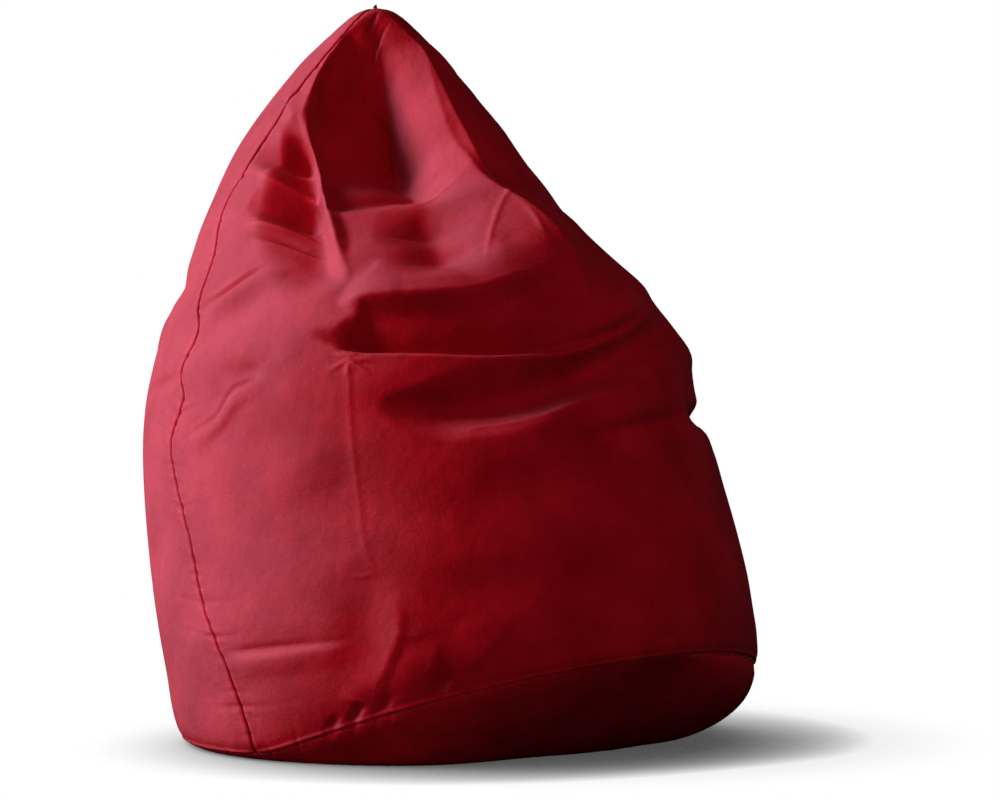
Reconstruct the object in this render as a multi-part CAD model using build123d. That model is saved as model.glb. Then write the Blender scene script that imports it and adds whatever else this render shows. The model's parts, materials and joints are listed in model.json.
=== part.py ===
from build123d import *
import math
import os

# Bean bag chair: a leaning teardrop bag that stands on the floor. +Z is up, the sitter faces -Y,
# the tip leans back to +Y, and the origin is on the floor under the middle of the bag.

# Overall shape, in millimetres and degrees
AXIS_LENGTH = 1063.0  # base to tip, along the leaning axis
LEAN = 13.0  # the axis leans back from upright
FLOOR_PRESS = 40.0  # how far the floor presses the base up, under the axis
TIP_RADIUS = 30.0
TIP_ROUND = 24.0
FLANK_RADIUS = 218.0
FLANK_DROP = 255.0  # below the tip
FLANK_ROUND = 600.0
SHOULDER_RADIUS = 362.0
SHOULDER_DROP = 470.0  # below the tip
SHOULDER_ROUND = 220.0
FOOT_RADIUS = 402.0
FOOT_ROUND = 120.0

# Cover and its seams
CLOTH = 1.0  # canvas thickness
HEM = 12.0  # width of the seam allowance turned inside
SEAM_GAP = 1.2  # between the two panels of a seam
SEAM_THREAD = 0.6
BASE_SEAM_HEIGHT = 9.0  # where the base lies on the floor
BASE_LIFT = 17.0  # slope of the base where it rises to the front
CLEARANCE = 0.3

# Liner that holds the beads
LINER_CLOTH = 0.6
LINER_GAP = 0.9
LINER_THREAD = 0.3

# Zip in the lower part of the right side seam
ZIP_MARGIN = 6.0  # between the tape's ends and the rounded parts of the wall
TAPE_REACH = 16.0  # from the middle of the zip to the tape's sewn edge
TAPE_THICK = 0.55
TAPE_PARTING = 1.0  # from the middle of the zip to the tape's inner edge
TAPE_TAIL = 10.0  # tape beyond each stop
SLOT_MARGIN = 3.0  # opening in the cover beyond each stop
STOP_LENGTH = 4.0
STOP_HEIGHT = 2.6
TOOTH_REACH = 4.2  # from the middle of the zip to the back of a tooth
TOOTH_HEIGHT = 2.2
TOOTH_PITCH = 3.0
TOOTH_WIDTH = 1.8
SPINE_WIDTH = 1.4  # solid strip that carries the teeth

# Slider and its pull tab
SLIDER_LENGTH = 15.0
PLATE_THICK = 1.1
FLANGE_THICK = 1.0
POST_WIDTH = 1.2
POST_LENGTH = 3.0
BRIDGE_WIDTH = 3.0
BRIDGE_SPAN = 5.4  # clear length under the bridge
BRIDGE_POST = 1.6
BRIDGE_BAR = 1.2
TAB_LENGTH = 34.0
TAB_THICK = 1.6
TAB_ARM = 1.7
TAB_GRIP_HOLE = 3.2

REACH = 2500.0  # larger than the bag, for cutting

# Half outline of the bag in its own upright frame, from the tip down the wall to the base
OUTLINE = [
    (0.0, AXIS_LENGTH),
    (TIP_RADIUS, AXIS_LENGTH),
    (FLANK_RADIUS, AXIS_LENGTH - FLANK_DROP),
    (SHOULDER_RADIUS, AXIS_LENGTH - SHOULDER_DROP),
    (FOOT_RADIUS, 0.0),
    (0.0, 0.0),
]
ROUNDINGS = [TIP_ROUND, FLANK_ROUND, SHOULDER_ROUND, FOOT_ROUND]


def direction(start, end):
    length = math.dist(start, end)
    return ((end[0] - start[0]) / length, (end[1] - start[1]) / length)


def crossing(start_a, way_a, start_b, way_b):
    """Point where two straight lines meet."""
    spread = way_a[0] * way_b[1] - way_a[1] * way_b[0]
    off = (start_b[0] - start_a[0], start_b[1] - start_a[1])
    along = (off[0] * way_b[1] - off[1] * way_b[0]) / spread
    return (start_a[0] + along * way_a[0], start_a[1] + along * way_a[1])


def inset_outline(depth):
    """Corners of the half outline, set in from the skin by depth."""
    lines = []
    for start, end in zip(OUTLINE, OUTLINE[1:]):
        way = direction(start, end)
        lines.append(((start[0] + depth * way[1], start[1] - depth * way[0]), way))
    corners = [(0.0, AXIS_LENGTH - depth)]
    for line, after in zip(lines, lines[1:]):
        corners.append(crossing(*line, *after))
    corners.append((0.0, depth))
    return corners


def upright_bag(depth):
    corners = inset_outline(depth)
    rounded = FilletPolyline(*corners, radius=[r - depth for r in ROUNDINGS])
    half = make_face(rounded + Line(corners[-1], corners[0]))
    return revolve(Plane.YZ * half, Axis.Z)


# Place of the upright bag in the chair's frame: leaning back, pressed on the floor, centred on its box
LEANING = Pos(0, 0, -FLOOR_PRESS) * Rot(X=-LEAN)
leaning_box = (LEANING * upright_bag(0)).bounding_box()
BAG = Pos(0, -(leaning_box.min.Y + leaning_box.max.Y) / 2, 0) * LEANING
AXIS_FOOT_Y = (BAG * Pos(0, 0, FLOOR_PRESS)).position.Y


def bag_solid(depth, floor):
    """The bag's volume inside a surface set in by depth, standing on the plane z = floor."""
    above_floor = Pos(0, 0, floor + REACH / 2) * Box(REACH, REACH, REACH)
    return (BAG * upright_bag(depth)) & above_floor


def side_seam_slab(width):
    """Slab about the plane of the two side seams, which holds the bag's axis."""
    return BAG * Box(REACH, width, 2 * REACH)


def below_base_seam(lift):
    """Everything below the base seam: level at the back, rising towards the front."""
    level = BASE_SEAM_HEIGHT + lift
    front = level + (REACH + AXIS_FOOT_Y) * math.tan(math.radians(BASE_LIFT))
    side = Polyline(
        (-REACH, front),
        (AXIS_FOOT_Y, level),
        (REACH, level),
        (REACH, -REACH),
        (-REACH, -REACH),
        close=True,
    )
    return extrude(Plane.YZ * make_face(side), amount=REACH / 2, both=True)


def half_space(toward_back):
    """The side of the side seams' plane towards the back or the front."""
    return BAG * Pos(0, toward_back * REACH / 2, 0) * Box(REACH, REACH, 2 * REACH)


# Straight stretch of the wall between its two roundings, which holds the zip
WALL_UP = direction(OUTLINE[4], OUTLINE[3])
WALL_OUT = (WALL_UP[1], -WALL_UP[0])


def rounding_reach(corner, radius):
    """Length that a rounding takes from each of the two lines that meet at a corner."""
    into = direction(OUTLINE[corner - 1], OUTLINE[corner])
    out = direction(OUTLINE[corner], OUTLINE[corner + 1])
    turn = math.acos(into[0] * out[0] + into[1] * out[1])
    return radius * math.tan(turn / 2)


zip_start = rounding_reach(4, FOOT_ROUND) + ZIP_MARGIN
zip_end = math.dist(OUTLINE[4], OUTLINE[3]) - rounding_reach(3, SHOULDER_ROUND) - ZIP_MARGIN
TAPE_LENGTH = zip_end - zip_start
zip_corner = (OUTLINE[4][0] + zip_start * WALL_UP[0], 0, OUTLINE[4][1] + zip_start * WALL_UP[1])
# In the zip's own frame X runs to the back, Y up the zip, and Z out of the wall
ZIP = BAG * Plane(zip_corner, x_dir=(0, 1, 0), z_dir=(WALL_OUT[0], 0, WALL_OUT[1])).location

# Heights of the zip's layers, out of the wall
wall_sag = TAPE_REACH**2 / (2 * min(SHOULDER_RADIUS, FOOT_RADIUS))
TAPE_TOP = -(CLOTH + CLEARANCE + wall_sag)
TAPE_UNDER = TAPE_TOP - TAPE_THICK
TOOTH_TOP = TAPE_TOP + TOOTH_HEIGHT
UNDER_PLATE = TAPE_UNDER - CLEARANCE - PLATE_THICK
OVER_PLATE = TOOTH_TOP + CLEARANCE
SLIDER_TOP = OVER_PLATE + PLATE_THICK
BAY_FLOOR = UNDER_PLATE - CLEARANCE
FLANGE_INSIDE = TOOTH_REACH + CLEARANCE
SLIDER_HALF = FLANGE_INSIDE + FLANGE_THICK
SLOT_HALF = SLIDER_HALF + 2 * CLEARANCE

# Places along the zip
LOWER_STOP_END = TAPE_TAIL + STOP_LENGTH
UPPER_STOP_START = TAPE_LENGTH - LOWER_STOP_END
SLIDER_FOOT = LOWER_STOP_END + CLEARANCE
ZIP_TRAVEL = UPPER_STOP_START - CLEARANCE - SLIDER_LENGTH - SLIDER_FOOT


def zip_box(x_from, x_to, y_from, y_to, z_from, z_to):
    """Box in the zip's own frame, by its limits."""
    size = Box(x_to - x_from, y_to - y_from, z_to - z_from)
    return Pos((x_from + x_to) / 2, (y_from + y_to) / 2, (z_from + z_to) / 2) * size


def zip_bay(grow):
    """Shallow channel behind the zip, in which the slider runs."""
    half = TAPE_REACH + CLEARANCE + grow
    length = TAPE_LENGTH + CLEARANCE + grow
    return ZIP * zip_box(-half, half, -CLEARANCE - grow, length, BAY_FLOOR - grow, TAPE_LENGTH)


def cover_shell():
    """Skin of the bag, with the seam allowances turned inside, open along the zip."""
    base_hem = below_base_seam(HEM) - below_base_seam(-HEM)
    seams = side_seam_slab(2 * HEM) + base_hem
    under_skin = bag_solid(CLOTH, CLOTH)
    hollow = (under_skin - seams) + bag_solid(2 * CLOTH, CLOTH) + (under_skin & zip_bay(0))
    slot = ZIP * zip_box(
        -SLOT_HALF,
        SLOT_HALF,
        TAPE_TAIL - SLOT_MARGIN,
        TAPE_LENGTH - TAPE_TAIL + SLOT_MARGIN,
        2 * BAY_FLOOR,
        -2 * BAY_FLOOR,
    )
    return bag_solid(0, 0) - hollow - slot


def liner_shell():
    depth = 2 * CLOTH + CLEARANCE
    floor = CLOTH + CLEARANCE
    outer = bag_solid(depth, floor) - zip_bay(0)
    inner = bag_solid(depth + LINER_CLOTH, floor + LINER_CLOTH) - zip_bay(LINER_CLOTH)
    return outer - inner


def bead_fill():
    depth = LINER_CLOTH + 2 * CLEARANCE
    return bag_solid(2 * CLOTH + depth, CLOTH + depth) - zip_bay(LINER_CLOTH + CLEARANCE)


def three_panels(shell, gap):
    """Front, back and base panels of a shell that is sewn along its side seams and base seam."""
    sides = shell - side_seam_slab(gap) - below_base_seam(gap / 2)
    front = sides & half_space(-1)
    back = sides & half_space(1)
    base = shell & below_base_seam(-gap / 2)
    return front, back, base


def three_threads(depth, thick, kept_clear):
    """Left, right and base seam threads, in the seam's gap at a depth below the skin."""
    ring = bag_solid(depth - thick / 2, CLOTH) - bag_solid(depth + thick / 2, CLOTH)
    sides = (ring & side_seam_slab(thick)) - below_base_seam(2 * thick)
    middle = Pos(0, 0, AXIS_LENGTH / 2) * Box(2 * thick, REACH, 2 * REACH)
    sides = sides - middle - kept_clear
    left = sides & (Pos(-REACH / 2, 0, 0) * Box(REACH, REACH, 2 * REACH))
    right = sides & (Pos(REACH / 2, 0, 0) * Box(REACH, REACH, 2 * REACH))
    base = ring & (below_base_seam(thick / 2) - below_base_seam(-thick / 2))
    return left, right, base


def zip_tape(side):
    edges = sorted((side * TAPE_PARTING, side * TAPE_REACH))
    return ZIP * zip_box(*edges, 0, TAPE_LENGTH, TAPE_UNDER, TAPE_TOP)


def zip_teeth(side):
    """Row of teeth on a strip, along the inner edge of one tape."""
    first = LOWER_STOP_END + CLEARANCE
    last = UPPER_STOP_START - CLEARANCE
    count = int((last - first - TOOTH_WIDTH) / TOOTH_PITCH) + 1
    comb = [(side * TOOTH_REACH, last), (side * TOOTH_REACH, first)]
    spine = side * (TOOTH_REACH - SPINE_WIDTH)
    for n in range(count):
        foot = first + n * TOOTH_PITCH
        comb.append((spine, foot) if n else (side * TAPE_PARTING, foot))
        if n:
            comb.append((side * TAPE_PARTING, foot))
        comb.append((side * TAPE_PARTING, foot + TOOTH_WIDTH))
        comb.append((spine, foot + TOOTH_WIDTH))
    comb.append((spine, last))
    row = extrude(make_face(Polyline(*comb, close=True)), amount=TOOTH_HEIGHT)
    return ZIP * Pos(0, 0, TAPE_TOP) * row


def zip_stop(y_from):
    """Small clip that bridges both tapes at one end of the teeth."""
    clip = zip_box(-TOOTH_REACH, TOOTH_REACH, y_from, y_from + STOP_LENGTH, TAPE_TOP, TAPE_TOP + STOP_HEIGHT)
    clip = fillet(clip.faces().sort_by(Axis.Z)[-1].edges(), STOP_LENGTH / 5)
    return ZIP * clip


bridge_foot = (SLIDER_LENGTH - BRIDGE_SPAN) / 2
PIVOT_Y = SLIDER_FOOT + SLIDER_LENGTH / 2
PIVOT_Z = SLIDER_TOP + CLEARANCE + TAB_THICK / 2
BRIDGE_UNDER = PIVOT_Z + TAB_THICK / 2 + CLEARANCE
BRIDGE_TOP = BRIDGE_UNDER + BRIDGE_BAR
# The tab's eye is long enough to swing over the bridge's outer corner
bridge_corner = math.hypot(BRIDGE_SPAN / 2 + BRIDGE_POST, BRIDGE_TOP - PIVOT_Z)
EYE_LENGTH = bridge_corner + 2 * CLEARANCE
EYE_HALF = BRIDGE_WIDTH / 2 + 2 * CLEARANCE


def zip_slider():
    head = SLIDER_FOOT + SLIDER_LENGTH
    plate = RectangleRounded(2 * SLIDER_HALF, SLIDER_LENGTH, SLIDER_HALF / 2)
    middle = Pos(0, SLIDER_FOOT + SLIDER_LENGTH / 2, 0)
    over = middle * Pos(0, 0, OVER_PLATE) * extrude(plate, amount=PLATE_THICK)
    under = middle * Pos(0, 0, UNDER_PLATE) * extrude(plate, amount=PLATE_THICK)
    slider = over + under
    # Two flanges guide the teeth, and a post joins the plates between the parted rows
    rim = SLIDER_HALF / 2
    for side in (-1, 1):
        edges = sorted((side * FLANGE_INSIDE, side * SLIDER_HALF))
        flange = zip_box(*edges, SLIDER_FOOT + rim, head - rim, TAPE_TOP + CLEARANCE, OVER_PLATE)
        slider = slider + flange
    post_foot = SLIDER_FOOT + PLATE_THICK
    half = POST_WIDTH / 2
    slider = slider + zip_box(-half, half, post_foot, post_foot + POST_LENGTH, UNDER_PLATE, SLIDER_TOP)
    # The bridge carries the pull tab
    width = BRIDGE_WIDTH / 2
    low = PIVOT_Y - BRIDGE_SPAN / 2
    high = PIVOT_Y + BRIDGE_SPAN / 2
    arch = zip_box(-width, width, low - BRIDGE_POST, high + BRIDGE_POST, SLIDER_TOP, BRIDGE_TOP)
    arch = fillet(arch.faces().sort_by(Axis.Z)[-1].edges().filter_by(Axis.X), BRIDGE_BAR)
    arch = arch - zip_box(-width, width, low, high, SLIDER_TOP, BRIDGE_UNDER)
    return ZIP * (slider + arch)


def zip_pull_tab():
    """Flat tab with an eye, whose round bar turns under the bridge."""
    bar = TAB_THICK / 2
    outer = EYE_HALF + TAB_ARM
    tab = zip_box(-outer, outer, PIVOT_Y - TAB_LENGTH, PIVOT_Y, -bar, bar)
    tab = fillet(tab.edges().filter_by(Axis.Z).sort_by(Axis.Y)[:2], outer * 0.8)
    eye = zip_box(-EYE_HALF, EYE_HALF, PIVOT_Y - EYE_LENGTH, PIVOT_Y + bar, -TAB_THICK, TAB_THICK)
    hole = Pos(0, PIVOT_Y - TAB_LENGTH + outer, 0) * Cylinder(TAB_GRIP_HOLE / 2, 2 * TAB_THICK)
    pin = Pos(0, PIVOT_Y, 0) * Rot(Y=90) * Cylinder(bar, 2 * outer)
    return ZIP * Pos(0, 0, PIVOT_Z) * (tab - eye - hole + pin)


def whole_chair():
    pieces = {}
    front, back, base = three_panels(cover_shell(), SEAM_GAP)
    pieces["front_panel"] = front
    pieces["back_panel"] = back
    pieces["base_panel"] = base
    left, right, around = three_threads(CLOTH, SEAM_THREAD, zip_bay(SEAM_GAP))
    pieces["left_seam_thread"] = left
    pieces["right_seam_thread"] = right
    pieces["base_seam_thread"] = around
    front, back, base = three_panels(liner_shell(), LINER_GAP)
    pieces["liner_front_panel"] = front
    pieces["liner_back_panel"] = back
    pieces["liner_base_panel"] = base
    liner_middle = 2 * CLOTH + CLEARANCE + LINER_CLOTH / 2
    left, right, around = three_threads(liner_middle, LINER_THREAD, zip_bay(LINER_CLOTH))
    pieces["liner_left_thread"] = left
    pieces["liner_right_thread"] = right
    pieces["liner_base_thread"] = around
    pieces["bead_fill"] = bead_fill()
    pieces["zip_front_tape"] = zip_tape(-1)
    pieces["zip_back_tape"] = zip_tape(1)
    pieces["zip_front_teeth"] = zip_teeth(-1)
    pieces["zip_back_teeth"] = zip_teeth(1)
    pieces["zip_lower_stop"] = zip_stop(TAPE_TAIL)
    pieces["zip_upper_stop"] = zip_stop(UPPER_STOP_START)
    pieces["zip_slider"] = zip_slider()
    pieces["zip_pull_tab"] = zip_pull_tab()
    return pieces


os.makedirs("parts", exist_ok=True)
for name, piece in whole_chair().items():
    export_step(piece, f"parts/{name}.step")
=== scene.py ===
import bmesh
import bpy
import json
import math
import numpy as np
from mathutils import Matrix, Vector
from mathutils.bvhtree import BVHTree


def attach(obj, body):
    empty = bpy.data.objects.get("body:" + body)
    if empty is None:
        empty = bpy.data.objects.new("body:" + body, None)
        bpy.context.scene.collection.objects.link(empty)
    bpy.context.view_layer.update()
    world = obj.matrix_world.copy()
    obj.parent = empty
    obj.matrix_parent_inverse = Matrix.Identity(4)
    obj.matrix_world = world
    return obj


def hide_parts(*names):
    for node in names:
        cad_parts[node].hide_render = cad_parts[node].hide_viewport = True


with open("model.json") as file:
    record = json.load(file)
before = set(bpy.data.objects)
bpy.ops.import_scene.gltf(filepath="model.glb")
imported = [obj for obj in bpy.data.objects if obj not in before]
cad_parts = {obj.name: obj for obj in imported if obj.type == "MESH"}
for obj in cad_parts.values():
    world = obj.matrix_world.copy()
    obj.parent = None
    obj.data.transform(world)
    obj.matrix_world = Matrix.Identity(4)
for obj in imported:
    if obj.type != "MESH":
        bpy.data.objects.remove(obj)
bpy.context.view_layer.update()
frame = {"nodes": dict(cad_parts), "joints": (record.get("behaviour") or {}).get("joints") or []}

# Camera at the photograph's viewing angle
IMAGE_WIDTH = 1000
IMAGE_HEIGHT = 800
VIEW_AZIMUTH = -30.0
VIEW_ELEVATION = 1.8
VIEW_DISTANCE = 6.0
PIXELS_PER_METRE = 740.0
FLOOR_ORIGIN_PIXEL = (443.5, 735.2)
SENSOR_WIDTH = 36.0

# Wall of the bag where it isn't lifted: height and radius, from the tip to the base seam, in metres
WALL = [
    (0.989, 0.000), (0.986, 0.018), (0.975, 0.037), (0.940, 0.074), (0.900, 0.111), (0.800, 0.186),
    (0.700, 0.243), (0.600, 0.306), (0.550, 0.337), (0.500, 0.360), (0.400, 0.380), (0.250, 0.393),
    (0.150, 0.397), (0.080, 0.393), (0.026, 0.386), (0.005, 0.376),
]
# Middle of the bag at each height: height and distance back
LEAN_LINE = [
    (0.00, -0.056), (0.10, -0.041), (0.20, -0.007), (0.30, 0.030), (0.40, 0.058), (0.50, 0.072),
    (0.55, 0.090), (0.60, 0.112), (0.65, 0.147), (0.70, 0.176), (0.80, 0.199), (0.90, 0.200),
    (1.00, 0.188),
]
BACK_FLATNESS = 0.96  # depth of the back half, as a share of a round one

# Seams: both side seams start at the tip, and the base seam rises to the front
SEAM_PLANE_FOOT = -0.051
SEAM_PLANE_LEAN = 13.0
FRONT_LIFT = 0.131
LIFT_TURN = 18.0  # degrees from the front, towards +X, where the base seam is highest
# Left side seam, by pixels of the photograph from the tip to the floor
LEFT_SEAM_PIXELS = [
    (362, 12), (300, 87), (246, 168), (222, 212), (213, 257), (197, 306), (199, 328), (178, 376),
    (184, 394), (171, 436), (172, 468), (187, 531), (204, 611), (227, 670), (254, 751),
]
# Where the base leaves the floor: degrees from the front, towards +X, and radius
CONTACT = [
    (-180, 0.352), (-130, 0.358), (-100, 0.364), (-70, 0.356), (-40, 0.325), (-10, 0.245),
    (25, 0.240), (60, 0.262), (95, 0.325), (130, 0.352), (180, 0.352),
]

# Right side, where the bag lies in from a round shape: height and how far out it is, in millimetres
RIGHT_SIDE = [
    (0.00, 0), (0.03, 10), (0.06, 15), (0.10, 14), (0.14, 5), (0.20, -4), (0.30, -7), (0.38, -7),
    (0.42, -5), (0.46, -12), (0.49, -12), (0.52, -4), (0.575, -21), (0.61, -13), (0.66, -23),
    (0.72, -11), (0.80, -6), (0.90, -2), (1.00, 0),
]
RIGHT_SIDE_TURN = 62.0  # degrees from the front, at the middle of that side
RIGHT_SIDE_REACH = 52.0

# Zip in the lower part of the right seam, in metres
ZIP_LENGTH = 0.3951
PIVOT_ABOVE_END = 0.0218
PIVOT_ABOVE_CLOTH = 0.0030
SLOT_HALF_WIDTH = 0.0061
SLOT_END = 0.007
SLOT_FADE = 0.006
DRAWN_BACK = 0.04  # how far from the zip its opening moves the cloth
ROLL_DEPTH, ROLL_WIDTH = 0.0011, 0.0022
HEM_WIDTH, HEM_DROP = 0.006, 0.0003
# Flat place round the zip
WALL_RADIUS_AT_ZIP = 0.38
FLAT_HALF_WIDTH, FLAT_FADE = 0.026, 0.1
FLAT_MARGIN, FLAT_END_FADE = 0.012, 0.07
SIDE_DEPTH = 0.12  # what lies farther in than this isn't on the zip's side of the bag

# Grid of the cloth, and how often folds and light on it are evened out
FRONT_COLUMNS, BACK_COLUMNS, WALL_ROWS, BASE_ROWS = 400, 230, 420, 90
FOLD_SOFTENING, LIGHT_SOFTENING = 3, 4


def arc_from(points, axis):
    """Length along the rows or columns of a grid, from its first point."""
    steps = np.linalg.norm(np.diff(points, axis=axis), axis=-1)
    start = np.zeros_like(np.take(steps, [0], axis=axis))
    return np.concatenate([start, np.cumsum(steps, axis=axis)], axis=axis)


def curve_through(points, count):
    """Smooth curve through a few points, as count points evenly spread along it."""
    knots = np.array(points, float)
    before = 2 * knots[0] - knots[1]
    after = 2 * knots[-1] - knots[-2]
    padded = np.vstack([before, knots, after])
    steps = np.linspace(0, 1, 41)[:-1, None]
    runs = []
    for a, b, c, d in zip(padded, padded[1:], padded[2:], padded[3:]):
        bend = 2 * a - 5 * b + 4 * c - d
        twist = 3 * b - a - 3 * c + d
        runs.append(b + 0.5 * ((c - a) * steps + bend * steps**2 + twist * steps**3))
    path = np.vstack([*runs, knots[-1:]])
    length = arc_from(path, 0)
    even = np.linspace(0, length[-1], count)
    return np.stack([np.interp(even, length, values) for values in path.T], axis=1)


def ease(x):
    """Smooth step from 0 to 1."""
    x = np.clip(x, 0, 1)
    return x * x * (3 - 2 * x)


def bell(off, width):
    """1 on a line, and less with the distance from it."""
    return np.exp(-((off / width) ** 2))


def unit(vectors):
    """Vectors brought to length 1."""
    return vectors / np.maximum(np.linalg.norm(vectors, axis=-1, keepdims=True), 1e-12)


def round_closed(field):
    """A field over a grid round the bag, with its first column once more at the end."""
    return np.concatenate([field, field[:, :1]], axis=1)


def numbered(points):
    """The number of each point of a grid."""
    return np.arange(points.shape[0] * points.shape[1]).reshape(points.shape[:2])


def faces_of(number):
    """Faces between the numbered points of a grid."""
    corners = [number[:-1, :-1], number[1:, :-1], number[1:, 1:], number[:-1, 1:]]
    return np.stack(corners, axis=-1).reshape(-1, 4)


def placed(name, data):
    """A new object in the scene."""
    thing = bpy.data.objects.new(name, data)
    bpy.context.collection.objects.link(thing)
    return thing


def aim(thing, place, direction):
    """Puts a camera or a lamp in its place and turns it."""
    thing.location = Vector(place)
    thing.rotation_mode = "QUATERNION"
    thing.rotation_quaternion = Vector(direction).to_track_quat("-Z", "Y")


# Camera
azimuth = math.radians(VIEW_AZIMUTH)
elevation = math.radians(VIEW_ELEVATION)
up = np.array([0, 0, 1.0])
view_level = np.array([math.sin(azimuth), -math.cos(azimuth), 0])
view_back = view_level * math.cos(elevation) + up * math.sin(elevation)
view_right = np.array([math.cos(azimuth), math.sin(azimuth), 0])
view_up = np.cross(view_back, view_right)
view_target = (
    view_right * (IMAGE_WIDTH / 2 - FLOOR_ORIGIN_PIXEL[0]) / PIXELS_PER_METRE
    + view_up * (FLOOR_ORIGIN_PIXEL[1] - IMAGE_HEIGHT / 2) / PIXELS_PER_METRE
)
view_point = view_target + view_back * VIEW_DISTANCE
FOCAL_PIXELS = PIXELS_PER_METRE * VIEW_DISTANCE


def to_pixels(points):
    """Where points of the object show in the photograph's frame."""
    away = points - view_point
    depth = -(away @ view_back)
    across = IMAGE_WIDTH / 2 + FOCAL_PIXELS * (away @ view_right) / depth
    down = IMAGE_HEIGHT / 2 - FOCAL_PIXELS * (away @ view_up) / depth
    return np.stack([across, down], axis=-1)


def make_camera():
    data = bpy.data.cameras.new("camera")
    data.sensor_width = SENSOR_WIDTH
    data.lens = SENSOR_WIDTH * FOCAL_PIXELS / IMAGE_WIDTH
    data.clip_start = 0.1
    data.clip_end = 60
    camera = placed("camera", data)
    aim(camera, view_point, -view_back)
    bpy.context.scene.camera = camera


# Shape of the filled bag, before its folds
wall_curve = curve_through(WALL, 800)
wall_length = arc_from(wall_curve, 0)
wall_share = wall_length / wall_length[-1]
lean_curve = curve_through(LEAN_LINE, 400)
TOP = WALL[0][0]
FOOT_RADIUS = WALL[-1][1]


def middle_at(height):
    return np.interp(height, lean_curve[:, 0], lean_curve[:, 1])


def seam_lift(turn):
    """Height of the base seam above its lowest, at an angle from the front."""
    ahead = np.cos(turn - math.radians(LIFT_TURN))
    soft = 0.1
    return FRONT_LIFT * (ahead + np.sqrt(ahead**2 + soft**2)) / 2


def wall_point(turn, share):
    """Point of the wall at an angle from the front and a share of the way from the tip to the base seam."""
    height = np.interp(share, wall_share, wall_curve[:, 0])
    radius = np.interp(share, wall_share, wall_curve[:, 1])
    lifted = height + seam_lift(turn) * (1 - height / TOP)
    ahead = np.cos(turn)
    ahead = np.where(ahead < 0, BACK_FLATNESS * ahead, ahead)
    back = middle_at(height) - radius * ahead
    return np.stack([radius * np.sin(turn), back, lifted], axis=-1)


def right_seam_turn(share):
    """Angle of the right side seam, which lies in the frame's seam plane."""
    height = np.interp(share, wall_share, wall_curve[:, 0])
    radius = np.maximum(np.interp(share, wall_share, wall_curve[:, 1]), 0.03)
    plane = SEAM_PLANE_FOOT + height * math.tan(math.radians(SEAM_PLANE_LEAN))
    return np.arccos(np.clip((middle_at(height) - plane) / radius, -0.9, 0.9))


def left_seam_turn(share):
    """Angle of the left side seam, from where it shows in the photograph."""
    turns = np.radians(np.linspace(-140, -40, 401))
    shares = np.linspace(0.03, 1, 160)
    pixels = to_pixels(wall_point(turns[None, :], shares[:, None]))
    hidden = np.arange(len(turns)) < pixels[..., 0].argmin(axis=1)[:, None]
    found = []
    for across, down in curve_through(LEFT_SEAM_PIXELS, 120):
        off = np.hypot(pixels[..., 0] - across, pixels[..., 1] - down) + 999 * hidden
        row, column = np.unravel_index(off.argmin(), off.shape)
        found.append((shares[row], turns[column]))
    found = np.array(sorted(found))
    even = np.linspace(0, 1, 300)
    turn = np.interp(even, found[:, 0], found[:, 1])
    around = np.pad(turn, 3, mode="edge")
    turn = np.convolve(around, np.ones(7) / 7, mode="valid")
    return np.interp(share, even, turn)


FINE_STEP = 0.3  # step at a seam, as a share of the usual one
FINE_REACH = 0.08


def spread(count, start, end):
    """Shares from 0 to 1 in smaller steps near the ends that lie on a seam."""
    middle = (np.arange(count - 1) + 0.5) / (count - 1)
    step = np.ones(count - 1)
    if start:
        step = step * (FINE_STEP + (1 - FINE_STEP) * ease(middle / FINE_REACH))
    if end:
        step = step * (FINE_STEP + (1 - FINE_STEP) * ease((1 - middle) / FINE_REACH))
    share = np.concatenate([[0], np.cumsum(step)])
    return share / share[-1]


def bag_grid(front_columns, back_columns, rows, base_rows):
    """Points of the whole bag, and the places of its rows and columns. Columns run from the left seam
    round the front to the right seam and back round the rear. Rows run from the tip to the base seam
    and on to the middle of the base."""
    share = spread(rows, False, True)
    left = left_seam_turn(share)[:, None]
    right = right_seam_turn(share)[:, None]
    front_across = spread(front_columns + 1, True, True)
    back_across = spread(back_columns + 1, True, True)
    front = left + (right - left) * front_across
    back = right + (left + 2 * math.pi - right) * back_across
    turn = np.hstack([front, back[:, 1:-1]])
    wall = wall_point(turn, share[:, None])
    rim = wall[-1]
    centre = np.array([0, middle_at(0.0), 0])
    inward = spread(base_rows + 1, True, False)
    reach = 1 - inward[1:, None]
    angle = (np.degrees(turn[-1]) + 180) % 360 - 180
    spots = curve_through(CONTACT, 200)
    contact = np.interp(angle, spots[:, 0], spots[:, 1]) / FOOT_RADIUS
    rise = np.clip((reach - contact) / (1 - contact), 0, 1)
    # The base rises in a round curve on the right side, and almost straight elsewhere
    rounded = ease((angle - 15) / 35) * ease((180 - angle) / 50)
    base = centre + (rim[None] - centre) * reach[..., None]
    base[..., 2] = rim[None, :, 2] * ((1 - rounded) * rise**1.15 + rounded * (1 - np.sqrt(1 - rise**2)))
    whole = np.concatenate([wall, base])
    row_place = np.concatenate([share, 1 + inward[1:]])
    column_place = np.concatenate([front_across, 1 + back_across[1:]])
    turn = np.vstack([turn, np.repeat(turn[-1:], base_rows, axis=0)])
    return side_trimmed(whole, turn), row_place, column_place


def side_trimmed(points, turn):
    """The bag with its right side brought in or out."""
    angle = (np.degrees(turn) + 180) % 360 - 180
    near = ease(1 - np.abs(angle - RIGHT_SIDE_TURN) / RIGHT_SIDE_REACH)
    trim = curve_through(RIGHT_SIDE, 300)
    out = np.interp(points[..., 2], trim[:, 0], trim[:, 1]) / 1000 * near
    return points + np.stack([out * np.sin(turn), -out * np.cos(turn), 0 * out], axis=-1)


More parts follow.
